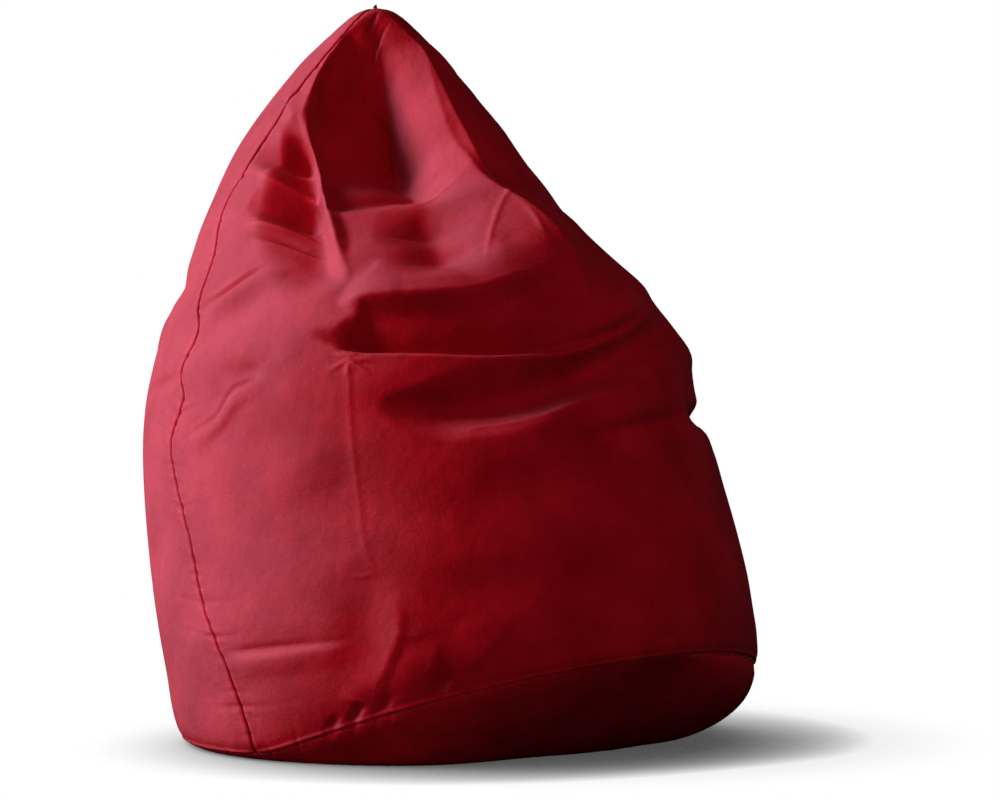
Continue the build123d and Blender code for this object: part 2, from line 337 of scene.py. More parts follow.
def grid_normals(grid):
    """Outward normals of a grid whose columns close round the bag."""
    round_way = np.roll(grid, -1, axis=1) - np.roll(grid, 1, axis=1)
    return unit(np.cross(np.gradient(grid, axis=0), round_way))


grid, row_place, column_place = bag_grid(FRONT_COLUMNS, BACK_COLUMNS, WALL_ROWS, BASE_ROWS)
normals = grid_normals(grid)
grid_pixels = to_pixels(grid)
facing = np.einsum("ijk,k->ij", normals, view_back)


# Folds
TROUGH_ROUNDING = 0.22  # how round the bottom of a trough is, as a share of its reach


def seen_at(line, above=0, below=0):
    """Surface points that show at pixels (across, down), each with a height in mm and two reaches in pixels:
    above or to the right, and below or to the left. A point without its own reaches takes the line's."""
    near = facing > 0
    pixels = grid_pixels[near]
    points = grid[near]
    rows = []
    for row in line:
        across, down, height, over, under = (*row, above, below)[:5]
        spot = points[np.hypot(pixels[:, 0] - across, pixels[:, 1] - down).argmin()]
        rows.append((*spot, height / 1000, over / PIXELS_PER_METRE, under / PIXELS_PER_METRE))
    return rows


def round_at(line):
    """Surface points from (degrees from the front, height, fold height in mm, two reaches in mm)."""
    shares = np.linspace(0.02, 1, 400)
    rows = []
    for turn, height, lift, above, below in line:
        column = wall_point(math.radians(turn), shares)
        spot = column[np.abs(column[:, 2] - height).argmin()]
        spot = grid.reshape(-1, 3)[np.linalg.norm(grid - spot, axis=-1).argmin()]
        rows.append((*spot, lift / 1000, above / 1000, below / 1000))
    return rows


def fold_height(line, shape):
    """Height that one fold adds at each point of the grid."""
    path = curve_through(line, 50)
    reach = path[:, 4:].max()
    low = path[:, :3].min(axis=0) - reach
    high = path[:, :3].max(axis=0) + reach
    near = np.all((grid > low) & (grid < high), axis=-1)
    points = grid[near]
    outward = normals[near]
    nearest = np.full(len(points), 9.0)
    height = np.zeros(len(points))
    width = np.ones(len(points))
    for start, step in zip(path, np.diff(path, axis=0)):
        run = step[:3]
        along = np.clip((points - start[:3]) @ run / max(run @ run, 1e-12), 0, 1)
        off = points - start[:3] - along[:, None] * run
        gap = np.linalg.norm(off, axis=1)
        above = np.einsum("ij,ij->i", np.cross(run, off), outward) > 0
        closer = gap < nearest
        nearest[closer] = gap[closer]
        height[closer] = (start[3] + along * step[3])[closer]
        reaches = np.where(above, start[4] + along * step[4], start[5] + along * step[5])
        width[closer] = reaches[closer]
    fall = np.clip(1 - nearest / np.maximum(width, 1e-4), 0, 1)
    if shape == "soft":
        fall = ease(fall)
    if shape == "sharp":
        fall = fall**2
    if shape == "trough":
        steep = np.hypot(1 - fall, TROUGH_ROUNDING) - TROUGH_ROUNDING
        fall = 1 - steep / (math.hypot(1, TROUGH_ROUNDING) - TROUGH_ROUNDING)
    result = np.zeros(grid.shape[:2])
    result[near] = height * fall
    return result


def seen_fold(shape, above, below, line):
    """Height that one fold of the photograph adds."""
    return fold_height(seen_at(line, above, below), shape)


def soften(field, passes):
    """Evens out a field over the grid a little."""
    for _ in range(passes):
        field = 0.5 * field + 0.25 * (np.roll(field, 1, axis=1) + np.roll(field, -1, axis=1))
        padded = np.concatenate([field[:1], field, field[-1:]])
        field = 0.5 * field + 0.25 * (padded[:-2] + padded[2:])
    return field


# Hollow in the front of the top, where the bag isn't filled: pixel across and down, depth in mm, and
# reach to the right and to the left in pixels
TOP_HOLLOW = [
    (374, 14, 0, 14, 12), (380, 40, -36, 40, 58), (391, 75, -74, 50, 92), (402, 108, -100, 56, 106),
    (410, 132, -108, 62, 112), (415, 150, -92, 66, 112), (419, 166, -68, 74, 110),
    (423, 182, -42, 84, 108), (428, 200, -24, 94, 98), (434, 230, -18, 104, 86),
    (440, 285, 0, 110, 70),
]
# Steep left edge of the hollow, by the same rule
HOLLOW_EDGE = [
    (354, 28, 0, 24, 8), (345, 42, -10, 44, 8), (334, 58, -20, 62, 9), (323, 80, -32, 80, 10),
    (317, 105, -40, 88, 11), (317, 130, -44, 90, 12), (323, 155, -44, 90, 14),
    (331, 180, -38, 88, 14), (338, 203, -24, 80, 14), (345, 232, -12, 60, 14),
    (351, 270, 0, 50, 14),
]
# Large folds: shape, reach above or to the right, reach below or to the left, and points as pixel across
# and down and height in mm. Points with their own reaches have them behind the height.
LARGE_FOLDS = [
    # Crisp ridges on both sides of the hollow, and the slack beside the left one
    ("sharp", 20, 14, [
        (324, 45, 0), (292, 87, 3), (295, 130, 3), (312, 190, 2), (326, 240, 2), (345, 290, 0),
    ]),
    ("soft", 0, 0, [
        (293, 116, 0, 14, 16), (296, 136, -22, 16, 26), (300, 160, -40, 18, 46),
        (306, 190, -45, 18, 62), (315, 226, -38, 18, 64), (324, 256, -22, 18, 58),
        (336, 288, 0, 18, 50),
    ]),
    ("sharp", 24, 52, [
        (412, 32, 0), (426, 60, 6), (446, 113, 15), (470, 158, 17), (508, 206, 15), (556, 250, 15),
        (581, 276, 6), (598, 294, 0),
    ]),
    # Crease under the hollow
    ("sharp", 22, 26, [
        (318, 206, 0), (338, 199, -9), (370, 188, -12), (406, 173, -10), (436, 160, -5), (470, 148, 0),
    ]),
    # Lip of the shelf, the recess above the long fold, the recess under it, and the ridge below that
    ("flat", 76, 9, [
        (338, 302, 0), (358, 304, 16), (384, 304, 22), (412, 303, 23), (452, 303, 24), (482, 298, 22),
        (512, 286, 20), (541, 276, 14), (568, 262, 0),
    ]),
    ("flat", 0, 0, [
        (314, 332, 0, 8, 5), (331, 338, -10, 16, 6), (342, 340, -20, 32, 8), (352, 341, -44, 46, 9),
        (372, 342, -48, 48, 9), (420, 344, -46, 50, 9), (480, 346, -42, 56, 9), (530, 344, -38, 70, 9),
        (575, 338, -34, 76, 9), (615, 326, -26, 62, 9), (642, 312, -16, 44, 8), (664, 292, 0, 30, 8),
    ]),
    ("soft", 0, 0, [
        (382, 402, 0, 8, 10), (402, 405, -12, 17, 24), (425, 406, -21, 25, 34), (455, 403, -28, 32, 40),
        (490, 398, -33, 37, 42), (522, 391, -35, 40, 40), (556, 380, -39, 40, 32),
        (592, 368, -41, 36, 32), (626, 351, -39, 34, 34), (650, 335, -28, 30, 28),
        (670, 318, 0, 20, 18),
    ]),
    ("soft", 26, 84, [
        (440, 428, 0), (480, 424, 4), (520, 416, 7), (555, 408, 9), (590, 399, 10), (631, 390, 11),
        (665, 380, 9), (692, 372, 3),
    ]),
    # Notch at the right, and the corner in the left outline
    ("sharp", 14, 30, [(560, 444, 0), (600, 434, -7), (640, 425, -13), (664, 419, -9), (684, 414, 0)]),
    ("soft", 26, 26, [(186, 298, 0), (172, 312, 7), (162, 332, 5), (156, 352, 0)]),
    # Small folds and slack beside the left seam
    ("soft", 34, 15, [(254, 154, 0), (272, 158, -18), (288, 156, -25), (308, 148, 0)]),
    ("soft", 32, 15, [(248, 203, 0), (268, 207, -18), (290, 208, -24), (307, 206, -12), (322, 203, 0)]),
    ("soft", 10, 13, [(248, 233, 0), (272, 232, -7), (300, 235, 0)]),
    ("soft", 14, 28, [(198, 318, 0), (225, 303, 10), (255, 284, 7), (288, 268, 0)]),
    ("soft", 16, 10, [(222, 366, 0), (245, 371, -6), (266, 373, 0)]),
    ("soft", 10, 26, [(264, 388, 0), (237, 402, 3), (218, 428, 3), (184, 456, 0)]),
    ("soft", 8, 11, [(148, 396, 0), (160, 384, -5), (180, 378, 0)]),
    ("soft", 7, 22, [(224, 661, 0), (260, 658, 4), (320, 651, 3), (356, 646, 0)]),
    # Soft swells and dents of the shelf and of the belly
    ("soft", 26, 30, [(380, 250, 0), (420, 236, 6), (470, 232, 5), (510, 245, 0)]),
    ("soft", 40, 44, [(250, 480, 0), (300, 470, 5), (340, 478, 0)]),
    ("soft", 60, 64, [(424, 190, 0), (434, 220, -15), (442, 250, -16), (450, 284, 0)]),
    ("soft", 28, 14, [(570, 332, 0), (606, 322, 8), (636, 311, 12), (664, 300, 0)]),
    ("soft", 36, 40, [(420, 600, 0), (490, 588, -6), (560, 592, 0)]),
    ("soft", 150, 24, [
        (240, 748, 0), (310, 728, -6), (380, 708, -8), (450, 690, -7), (540, 672, -4), (640, 660, 0),
    ]),
    ("soft", 40, 50, [(356, 560, 0), (364, 600, -4), (370, 650, -6), (374, 690, 0)]),
    ("soft", 60, 130, [(505, 176, 0), (530, 212, 14), (552, 244, 16), (574, 286, 0)]),
    ("soft", 70, 14, [(342, 206, 0), (350, 242, -5), (358, 284, 0)]),
]
# Folds that the photograph doesn't show, the ends of the long folds and slack at the side and back: shape,
# and points as degrees from the front, height in metres, fold height and two reaches in mm
UNSEEN_FOLDS = [
    ("soft", [(58, 0.505, 3, 46, 50), (70, 0.52, 6, 46, 50), (84, 0.545, 0, 40, 40)]),
    ("sharp", [
        (34, 0.446, 0, 18, 36), (42, 0.441, -15, 20, 40), (50, 0.438, -24, 20, 42),
        (60, 0.437, -22, 22, 42), (70, 0.434, -10, 24, 38), (80, 0.43, 0, 24, 34),
    ]),
    ("soft", [
        (62, 0.60, 0, 60, 50), (85, 0.615, -16, 60, 50), (112, 0.60, -20, 60, 50),
        (140, 0.575, 0, 50, 40),
    ]),
    ("soft", [
        (118, 0.50, 0, 44, 40), (140, 0.515, 12, 44, 50), (165, 0.52, 14, 44, 50),
        (196, 0.50, 0, 40, 40),
    ]),
    ("soft", [
        (128, 0.455, 0, 34, 34), (150, 0.462, -14, 38, 34), (176, 0.462, -16, 38, 34),
        (205, 0.45, 0, 34, 34),
    ]),
    ("soft", [
        (190, 0.58, 0, 50, 50), (212, 0.60, -18, 56, 44), (236, 0.59, -14, 50, 40),
        (252, 0.57, 0, 40, 40),
    ]),
    ("soft", [(205, 0.36, 0, 40, 40), (222, 0.37, -10, 44, 40), (240, 0.40, 0, 40, 40)]),
    ("sharp", [
        (160, 0.93, 0, 30, 30), (166, 0.83, 9, 46, 50), (172, 0.72, 8, 56, 56), (176, 0.62, 0, 50, 50),
    ]),
    ("sharp", [
        (210, 0.93, 0, 26, 30), (216, 0.84, 8, 44, 44), (214, 0.74, 6, 50, 56), (206, 0.66, 0, 50, 50),
    ]),
    ("soft", [
        (186, 0.92, 0, 40, 40), (190, 0.84, -16, 60, 60), (192, 0.75, -14, 70, 70),
        (190, 0.66, 0, 60, 60),
    ]),
    ("sharp", [
        (118, 0.90, 0, 24, 30), (122, 0.80, 8, 44, 46), (126, 0.70, 7, 50, 50), (132, 0.62, 0, 44, 44),
    ]),
    ("soft", [(100, 0.24, 0, 50, 40), (128, 0.22, -8, 50, 44), (150, 0.25, 0, 44, 40)]),
    ("soft", [(170, 0.20, 0, 50, 50), (196, 0.18, -9, 50, 44), (224, 0.21, 0, 44, 44)]),
]
# Small sharp creases, by the same rule as the large folds
CREASES = [
    ("sharp", 10, 14, [(246, 170, 0), (275, 179, 3), (300, 184, 4), (322, 186, 0)]),
    ("sharp", 7, 9, [(243, 226, 0), (262, 221, 3), (290, 222, 3), (312, 224, 0)]),
    ("sharp", 7, 8, [(251, 238, 0), (290, 242, 2), (331, 246, 0)]),
    ("sharp", 7, 8, [(197, 307, 0), (222, 292, -5), (250, 273, -4), (272, 261, 0)]),
    ("sharp", 6, 8, [(258, 377, 0), (245, 382, -3), (230, 393, -3), (215, 418, -2), (178, 443, 0)]),
    ("sharp", 9, 6, [(222, 653, 0), (250, 650, -3), (300, 645, -2), (354, 641, 0)]),
    # Pressed crease down the front
    ("sharp", 6, 9, [
        (348, 366, 1), (350, 420, 1), (353, 450, 1), (358, 494, 0.8), (365, 542, 0.8), (374, 573, 0),
    ]),
    ("sharp", 4, 4, [(349, 574, 0), (362, 575, 1.2), (376, 573, 0)]),
    # Crumples above the base seam, each lit on its left and dark on its right
    ("flat", 10, 42, [(396, 588, 0), (398, 633, 3), (386, 662, 4), (368, 703, 0)]),
    ("flat", 8, 24, [(438, 638, 0), (432, 660, 3), (424, 678, 0)]),
    ("flat", 10, 34, [(512, 616, 0), (484, 650, 5), (456, 680, 0)]),
    ("flat", 14, 6, [(338, 698, 0), (354, 700, 2), (369, 703, 0)]),
    ("flat", 8, 5, [(393, 632, 0), (412, 636, 1.5), (428, 633, 0)]),
    ("soft", 9, 9, [(330, 739, 0), (332, 726, -3), (336, 712, 0)]),
    ("soft", 10, 8, [(350, 731, 0), (355, 717, -4), (361, 702, 0)]),
    ("soft", 12, 9, [(380, 722, 0), (384, 708, -3), (393, 690, 0)]),
    ("soft", 14, 10, [(434, 704, 0), (440, 688, -5), (450, 668, 0)]),
    # Small folds on the shelf and beside the right ridge
    ("sharp", 5, 6, [(484, 262, 0), (490, 238, 2), (500, 206, 2), (512, 190, 0)]),
    ("sharp", 5, 6, [(515, 214, 0), (530, 232, 2), (543, 252, 0)]),
    ("sharp", 4, 6, [(404, 192, 0), (440, 175, 2), (478, 158, 0)]),
    ("sharp", 5, 5, [(380, 232, 0), (410, 228, 1.6), (446, 232, 0)]),
    # Pressed edges of the long fold and of the lip under it
    ("sharp", 4, 5, [
        (470, 355, 0), (520, 354, 0.8), (566, 348, 1.4), (606, 337, 1.6), (640, 320, 1.4),
        (660, 306, 0),
    ]),
    ("sharp", 4, 6, [
        (458, 427, 0), (484, 425, 1.2), (516, 420, 1.4), (548, 413, 1.4), (590, 399, 1.2),
        (636, 383, 0),
    ]),
    # Gathers beside the tip
    ("sharp", 4, 5, [(366, 26, 0), (372, 19, -3), (380, 11, 0)]),
    ("sharp", 4, 5, [(371, 44, 0), (377, 33, -3), (391, 20, 0)]),
]
# Small star of creases at the left end of the long fold: degrees clockwise from the right, and length
STAR_PIXEL = (349, 358)
STAR_HEIGHT, STAR_MIDDLE_HEIGHT = 2.6, 2.4
STAR_REACH = 5
STAR_RAYS = [(5, 26), (38, 30), (62, 17), (96, 20), (150, 24), (196, 18), (232, 14), (275, 15), (318, 16)]


def large_relief():
    """Height of the hollow and of the large folds."""
    relief = fold_height(seen_at(TOP_HOLLOW), "trough")
    for fold in LARGE_FOLDS:
        relief = relief + seen_fold(*fold)
    for shape, line in UNSEEN_FOLDS:
        relief = relief + fold_height(round_at(line), shape)
    return soften(relief, FOLD_SOFTENING)


def small_relief():
    """Height of the small creases and of their star."""
    relief = np.zeros(grid.shape[:2])
    for crease in CREASES:
        relief = relief + seen_fold(*crease)
    star = np.zeros(grid.shape[:2])
    for turn, length in STAR_RAYS:
        across = STAR_PIXEL[0] + length * math.cos(math.radians(turn))
        down = STAR_PIXEL[1] + length * math.sin(math.radians(turn))
        middle = ((across + STAR_PIXEL[0]) / 2, (down + STAR_PIXEL[1]) / 2)
        ray = [(*STAR_PIXEL, STAR_HEIGHT), (*middle, STAR_MIDDLE_HEIGHT), (across, down, 0)]
        star = np.maximum(star, seen_fold("sharp", STAR_REACH, STAR_REACH, ray))
    return relief + star


def resample(field, rows, columns, new_rows, new_columns):
    """A field over one grid, brought to the rows and columns of another."""
    closed = round_closed(field)
    closed = closed.reshape(*closed.shape[:2], -1)
    layers = []
    for k in range(closed.shape[2]):
        down = np.stack([np.interp(new_rows, rows, column) for column in closed[..., k].T], axis=1)
        layers.append(np.stack([np.interp(new_columns[:-1], columns, row) for row in down]))
    return np.stack(layers, axis=-1).reshape(len(new_rows), len(new_columns) - 1, *field.shape[2:])


# Seams
def seam_distances():
    """Distance of each point of the grid from the left, right and base seam, along the cloth."""
    along = arc_from(round_closed(grid), 1)
    around = along[:, -1:]
    along = along[:, :-1]
    left = np.minimum(along, around - along)
    off = np.abs(along - along[:, FRONT_COLUMNS : FRONT_COLUMNS + 1])
    right = np.minimum(off, around - off)
    down = arc_from(grid, 0)
    base = np.abs(down - down[WALL_ROWS - 1])
    return left, right, base, down


PUCKER_WIDTHS = (0.0028, 0.0045)
PUCKER_SLANT = 0.35


def gathers(random, along, off, spacing, depth, length):
    """Short puckers across a seam, at uneven steps along it."""
    result = np.zeros(np.broadcast_shapes(along.shape, off.shape))
    place = 0.0
    end = along.max()
    while place < end:
        place += spacing * random.uniform(0.6, 1.5)
        width = random.uniform(*PUCKER_WIDTHS)
        slant = random.uniform(-PUCKER_SLANT, PUCKER_SLANT)
        deep = depth * random.uniform(0.3, 1.0)
        reach = length * random.uniform(0.5, 1.3)
        near = np.abs(along - place) < 0.03
        near = np.broadcast_to(near, result.shape) & (off < 4 * reach)
        shift = np.broadcast_to(along, result.shape)[near] - place - slant * off[near]
        result[near] -= deep * bell(shift, width) * np.exp(-off[near] / reach)
    return result


# Ditch of a side seam and the shoulder beside it, and ridge and ditch of the base seam
SEAM_DEPTH, SEAM_WIDTH = 0.0030, 0.0019
SHOULDER_HEIGHT, SHOULDER_OFF, SHOULDER_WIDTH = 0.0004, 0.0075, 0.005
RIDGE_HEIGHT, RIDGE_OFF, RIDGE_WIDTH = 0.0014, 0.0035, 0.0028
BASE_DEPTH, BASE_WIDTH = 0.0012, 0.0018
# Puckers along the seams: spacing, depth and length
FINE_PUCKERS = (0.017, 0.0015, 0.013)
WIDE_PUCKERS = (0.07, 0.0022, 0.030)
BASE_PUCKERS = (0.034, 0.0015, 0.018)


def seam_relief():
    """Ditch, soft shoulders and puckers along the seams."""
    random = np.random.default_rng(7)
    left, right, base, down = seam_distances()
    wall = (np.arange(len(grid)) < WALL_ROWS)[:, None]
    result = np.zeros(grid.shape[:2])
    for off, column in ((left, 0), (right, FRONT_COLUMNS)):
        shoulder = SHOULDER_HEIGHT * bell(off - SHOULDER_OFF, SHOULDER_WIDTH)
        ditch = shoulder - SEAM_DEPTH * bell(off, SEAM_WIDTH)
        along = down[:, column : column + 1]
        lower = 0.45 + 0.55 * ease((along - 0.35) / 0.25)
        puckers = gathers(random, along, off, *FINE_PUCKERS) * lower
        puckers = puckers + gathers(random, along, off, *WIDE_PUCKERS)
        result = result + (ditch + puckers) * wall
    ridge = RIDGE_HEIGHT * bell(base - RIDGE_OFF, RIDGE_WIDTH) * wall
    ditch = -BASE_DEPTH * bell(base, BASE_WIDTH)
    rim = arc_from(round_closed(grid)[WALL_ROWS - 1 : WALL_ROWS], 1)[:, :-1]
    puckers = gathers(random, rim, base, *BASE_PUCKERS)
    return result + ridge + ditch + puckers


# Zip opening in the right seam
slide, swing = frame["joints"]
zip_up = np.array(slide["axis"])
zip_side = -np.array(swing["axis"])
zip_out = np.cross(zip_side, zip_up)
zip_foot = np.array(swing["pos_m"]) - PIVOT_ABOVE_END * zip_up - PIVOT_ABOVE_CLOTH * zip_out


def zip_places(points):
    """Places of points across, along and out from the zip."""
    off = points - zip_foot
    return off @ zip_side, off @ zip_up, off @ zip_out


def along_zip(height, margin, fade):
    """1 along the zip and a margin past its ends, and 0 farther off."""
    past = np.maximum(-height, height - ZIP_LENGTH) - margin
    return ease(1 - past / fade)


def smooth_at_zip(points):
    """The wall lies flat round the zip, on the frame's own surface, with the seam straight along it."""
    across, height, out = zip_places(points)
    near = ease(1 - (np.abs(across) - FLAT_HALF_WIDTH) / FLAT_FADE)
    near = near * along_zip(height, FLAT_MARGIN, FLAT_END_FADE) * (out > -SIDE_DEPTH)
    near[WALL_ROWS - 1 :] = 0
    seam_across = across[:, FRONT_COLUMNS : FRONT_COLUMNS + 1]
    bow = -(across**2) / (2 * WALL_RADIUS_AT_ZIP)
    moved = points - (seam_across * near)[..., None] * zip_side
    return moved + ((bow - out) * near)[..., None] * zip_out


def in_slot(height, out):
    """1 along the zip's opening, and 0 past its ends."""
    return along_zip(height, -SLOT_END, SLOT_FADE) * (out > -SIDE_DEPTH)


def opened(points, side):
    """One panel with its edge drawn back from the zip. Side is -1 for the front panel and 1 for the back."""
    across, height, out = zip_places(points)
    slot = in_slot(height, out)
    apart = SLOT_HALF_WIDTH * ease(1 - np.abs(across) / DRAWN_BACK) * slot
    rolled = -ROLL_DEPTH * bell(across, ROLL_WIDTH) * slot
    return points + (side * apart)[..., None] * zip_side + rolled[..., None] * zip_out


# Settling of the cloth
LOOSE = 0.035  # the cover is cut this share larger than its fill
SETTLE_LIMIT = 0.007
SEEN_SHARE = 0.75  # how much of the settling the photographed side leaves out
SETTLE_FRONT, SETTLE_BACK, SETTLE_ROWS, SETTLE_BASE = 120, 84, 118, 16
SETTLE_FRAMES = 20
HELD_BY_BEADS, HELD_BY_FOLDS, HELD_BY_SEAMS = 0.06, 0.5, 0.4
SHARP_HEIGHT = 0.004  # a fold that stands this far out of the cloth round it holds in full
CLOTH_SETTINGS = {
    "quality": 6,
    "mass": 0.25,
    "tension_stiffness": 20,
    "compression_stiffness": 20,
    "shear_stiffness": 6,
    "bending_stiffness": 2.5,
    "vertex_group_mass": "held",
    "pin_stiffness": 1.0,
    "shrink_min": -LOOSE,
    "use_pressure": True,
    "uniform_pressure_force": 4,
}


def places_along(first, second, start, end):
    """Even places over two neighbouring parts of a grid, from start to 1 and on to end."""
    return np.concatenate([np.linspace(start, 1, first), np.linspace(1, end, second + 1)[1:]])


def holding(coarse, rows, columns):
    """How firmly each point is held. Sharp folds, seams, tip, base and zip hold the cloth, and the beads hold
    the rest only loosely."""
    sharp = np.abs(relief + hollow - soften(relief + hollow, 40)) / SHARP_HEIGHT
    sharp = np.clip(resample(sharp, row_place, column_place, rows, columns), 0, 1)
    hold = HELD_BY_BEADS + HELD_BY_FOLDS * sharp
    hold[:, [0, SETTLE_FRONT]] = HELD_BY_SEAMS
    hold[SETTLE_ROWS - 2 : SETTLE_ROWS] = HELD_BY_SEAMS
    hold[SETTLE_ROWS:] = 1.0
    hold[:3] = 1.0
    across, height, out = zip_places(coarse)
    beside_zip = (np.abs(across) < 0.05) & (out > -0.1) & (along_zip(height, 0.02, 0.03) > 0)
    hold[beside_zip] = 1.0
    return np.round(hold, 2)


def draped(coarse, hold):
    """Where the points of the slack cover come to rest."""
    number = numbered(coarse)
    mesh = bpy.data.meshes.new("settling")
    mesh.from_pydata(coarse.reshape(-1, 3).tolist(), [], faces_of(round_closed(number)).tolist())
    piece = placed("settling", mesh)
    group = piece.vertex_groups.new(name="held")
    for level in np.unique(hold):
        group.add(number[hold == level].tolist(), float(level), "REPLACE")
    cloth = piece.modifiers.new("cloth", "CLOTH")
    for name, value in CLOTH_SETTINGS.items():
        setattr(cloth.settings, name, value)
    cloth.settings.effector_weights.gravity = 0
    cloth.collision_settings.use_collision = False
    cloth.point_cache.frame_start = 1
    cloth.point_cache.frame_end = SETTLE_FRAMES
    scene = bpy.context.scene
    for moment in range(1, SETTLE_FRAMES + 1):
        scene.frame_set(moment)
    result = piece.evaluated_get(bpy.context.evaluated_depsgraph_get()).to_mesh()
    ends = np.empty(coarse.size)
    result.vertices.foreach_get("co", ends)
    bpy.data.objects.remove(piece)
    scene.frame_set(1)
    return ends.reshape(coarse.shape)


def settled(points):
    """How the slack cover moves when the beads press it out and its seams and the floor hold it."""
    rows = places_along(SETTLE_ROWS, SETTLE_BASE, 0.012, 1.9)
    columns = places_along(SETTLE_FRONT + 1, SETTLE_BACK, 0, 2)
    coarse = resample(points, row_place, column_place, rows, columns)
    move = draped(coarse, holding(coarse, rows, columns)) - coarse
    # The beads' even swelling is already in the shape, so only the folds are kept
    rise = np.einsum("ijk,ijk->ij", move, grid_normals(coarse))
    folds = soften(np.clip(rise - soften(rise, 50), -SETTLE_LIMIT, SETTLE_LIMIT), 2)
    folds = resample(folds, rows, columns, np.clip(row_place, rows[0], rows[-1]), column_place)
    # The photographed side has its folds already, so the settling shows less there
    loose = ease((row_place - 0.03) / 0.12) * ease((1 - row_place) / 0.06)
    return folds * loose[:, None] * (1 - SEEN_SHARE * ease((facing + 0.3) / 0.5))


# Cloth
LOWEST_CLOTH = 0.0004
hollow = soften(fold_height(seen_at(HOLLOW_EDGE), "trough"), FOLD_SOFTENING)
relief = large_relief()
skin = grid + normals * relief[..., None] + view_back * hollow[..., None]
skin = skin + grid_normals(skin) * settled(skin)[..., None]
creases = small_relief() + seam_relief()
skin = skin + grid_normals(skin) * creases[..., None]
skin = smooth_at_zip(skin)
skin[..., 2] = np.maximum(skin[..., 2], LOWEST_CLOTH)
skin_normals = grid_normals(skin)


# Panels as meshes
def grid_mesh(name, points, places, crest_wear_highlight=0.0, painted_light=0.0):
    """Mesh of a grid of points, with places on the cloth in metres, and shares of lighter crests and of
    painted light.
    """
    quads = faces_of(numbered(points))
    mesh = bpy.data.meshes.new(name)
    mesh.from_pydata(points.reshape(-1, 3).tolist(), [], quads.tolist())
    mesh.polygons.foreach_set("use_smooth", np.ones(len(quads), bool))
    cloth = mesh.uv_layers.new(name="cloth")
    cloth.data.foreach_set("uv", places.reshape(-1, 2)[quads.reshape(-1)].reshape(-1))
    for share_name, share in (("crest_wear_highlight", crest_wear_highlight), ("painted_light", painted_light)):
        shares = np.broadcast_to(share, points.shape[:2]).reshape(-1)
        mesh.attributes.new(share_name, "FLOAT", "POINT").data.foreach_set("value", shares)
    shape = bmesh.new()
    shape.from_mesh(mesh)
    bmesh.ops.remove_doubles(shape, verts=shape.verts, dist=1e-6)
    shape.to_mesh(mesh)
    shape.free()
    return placed(name, mesh)


TURNED_IN = 0.009  # cloth turned in behind each seam


def panel_edges(points, outward, left_side, right_side):
    """Adds the cloth turned in at both sides of a panel. A side is -1 or 1 at the right seam, with the
    zip in it, and 0 at the left seam."""
    edges = []
    depth = TURNED_IN * ease(row_place[:WALL_ROWS] / 0.04)[:, None]
    for column, side in ((0, left_side), (-1, right_side)):
        edge = points[:, column]
        under = edge - depth * outward[:, column]
        if side:
            _, height, out = zip_places(edge)
            hem = edge + side * HEM_WIDTH * zip_side - HEM_DROP * zip_out
            under = under + (hem - under) * in_slot(height, out)[:, None]
        edges.append(under)
    return np.concatenate([edges[0][:, None], points, edges[1][:, None]], axis=1)


def wall_panel(name, columns, sides):
    """One side panel of the cover, with its edges turned in at the side seams and at the base seam."""

    def part(field):
        return round_closed(field)[:WALL_ROWS, columns]

    edges = ((0, 1), (1, 1))
    outward = part(skin_normals)
    points = panel_edges(opened(part(skin), sides[0] or sides[1]), outward, *sides)
    outward = np.pad(outward, ((0, 0), (1, 1), (0, 0)), mode="edge")
    points = np.concatenate([points, points[-1:] - TURNED_IN * outward[-1:]])
    smooth = part(grid)
    middle = smooth.shape[1] // 2
    across = arc_from(smooth, 1)
    across = across - across[:, middle : middle + 1]
    down = arc_from(smooth, 0)[:, middle : middle + 1] + 0 * across
    places = np.pad(np.stack([across, down], axis=-1), (*edges, (0, 0)), mode="edge")
    return grid_mesh(name, points, places, np.pad(part(crest_wear_highlight), edges), np.pad(part(painted_light), edges))


def bottom_panel(name):
    """The base of the cover, with its edge turned in at the base seam."""
    closed = round_closed(skin)[WALL_ROWS - 1 :]
    outward = round_closed(skin_normals)[WALL_ROWS - 1]
    points = np.concatenate([closed[:1] - TURNED_IN * outward[None], closed])
    return grid_mesh(name, points, points[..., :2].copy())


# Painted light: the cloth is paler and pinker where it faces the key lamp and that lamp's light reaches it,
# and stays deep red where a fold keeps the light off
KEY_LAMP_WAY = -view_right * 0.86 + view_level * 0.12
KEY_LAMP_LIFTS = (0.45, 0.6, 0.75)
PAINTED_LIGHT_START, PAINTED_LIGHT_END = 0.27, 0.93
FLANK_START, FLANK_END = -0.27, -0.07  # the same for the smooth shape, without its folds
PAINTED_LIGHT_POWER = 1.5
CLEAR_OF_CLOTH = 0.003
CREST_LIGHTENED_HEIGHT = 0.0012  # height of a crease whose crest is fully lightened, as wear and as painted highlight


def in_light():
    """Share of the key lamp's light that reaches each point past the cloth round it, for the painted light.
    """
    closed = round_closed(skin)[:WALL_ROWS]
    cloth = BVHTree.FromPolygons(closed.reshape(-1, 3).tolist(), faces_of(numbered(closed)).tolist())
    light = np.zeros(skin.shape[:2])
    raised = skin + CLEAR_OF_CLOTH * skin_normals
    for lift in KEY_LAMP_LIFTS:
        towards = Vector(KEY_LAMP_WAY + lift * up)
        lit = skin_normals @ np.array(towards) > 0
        for row, column in np.argwhere(lit[:WALL_ROWS]):
            if cloth.ray_cast(Vector(raised[row, column]), towards)[0] is None:
                light[row, column] += 1 / len(KEY_LAMP_LIFTS)
    return light


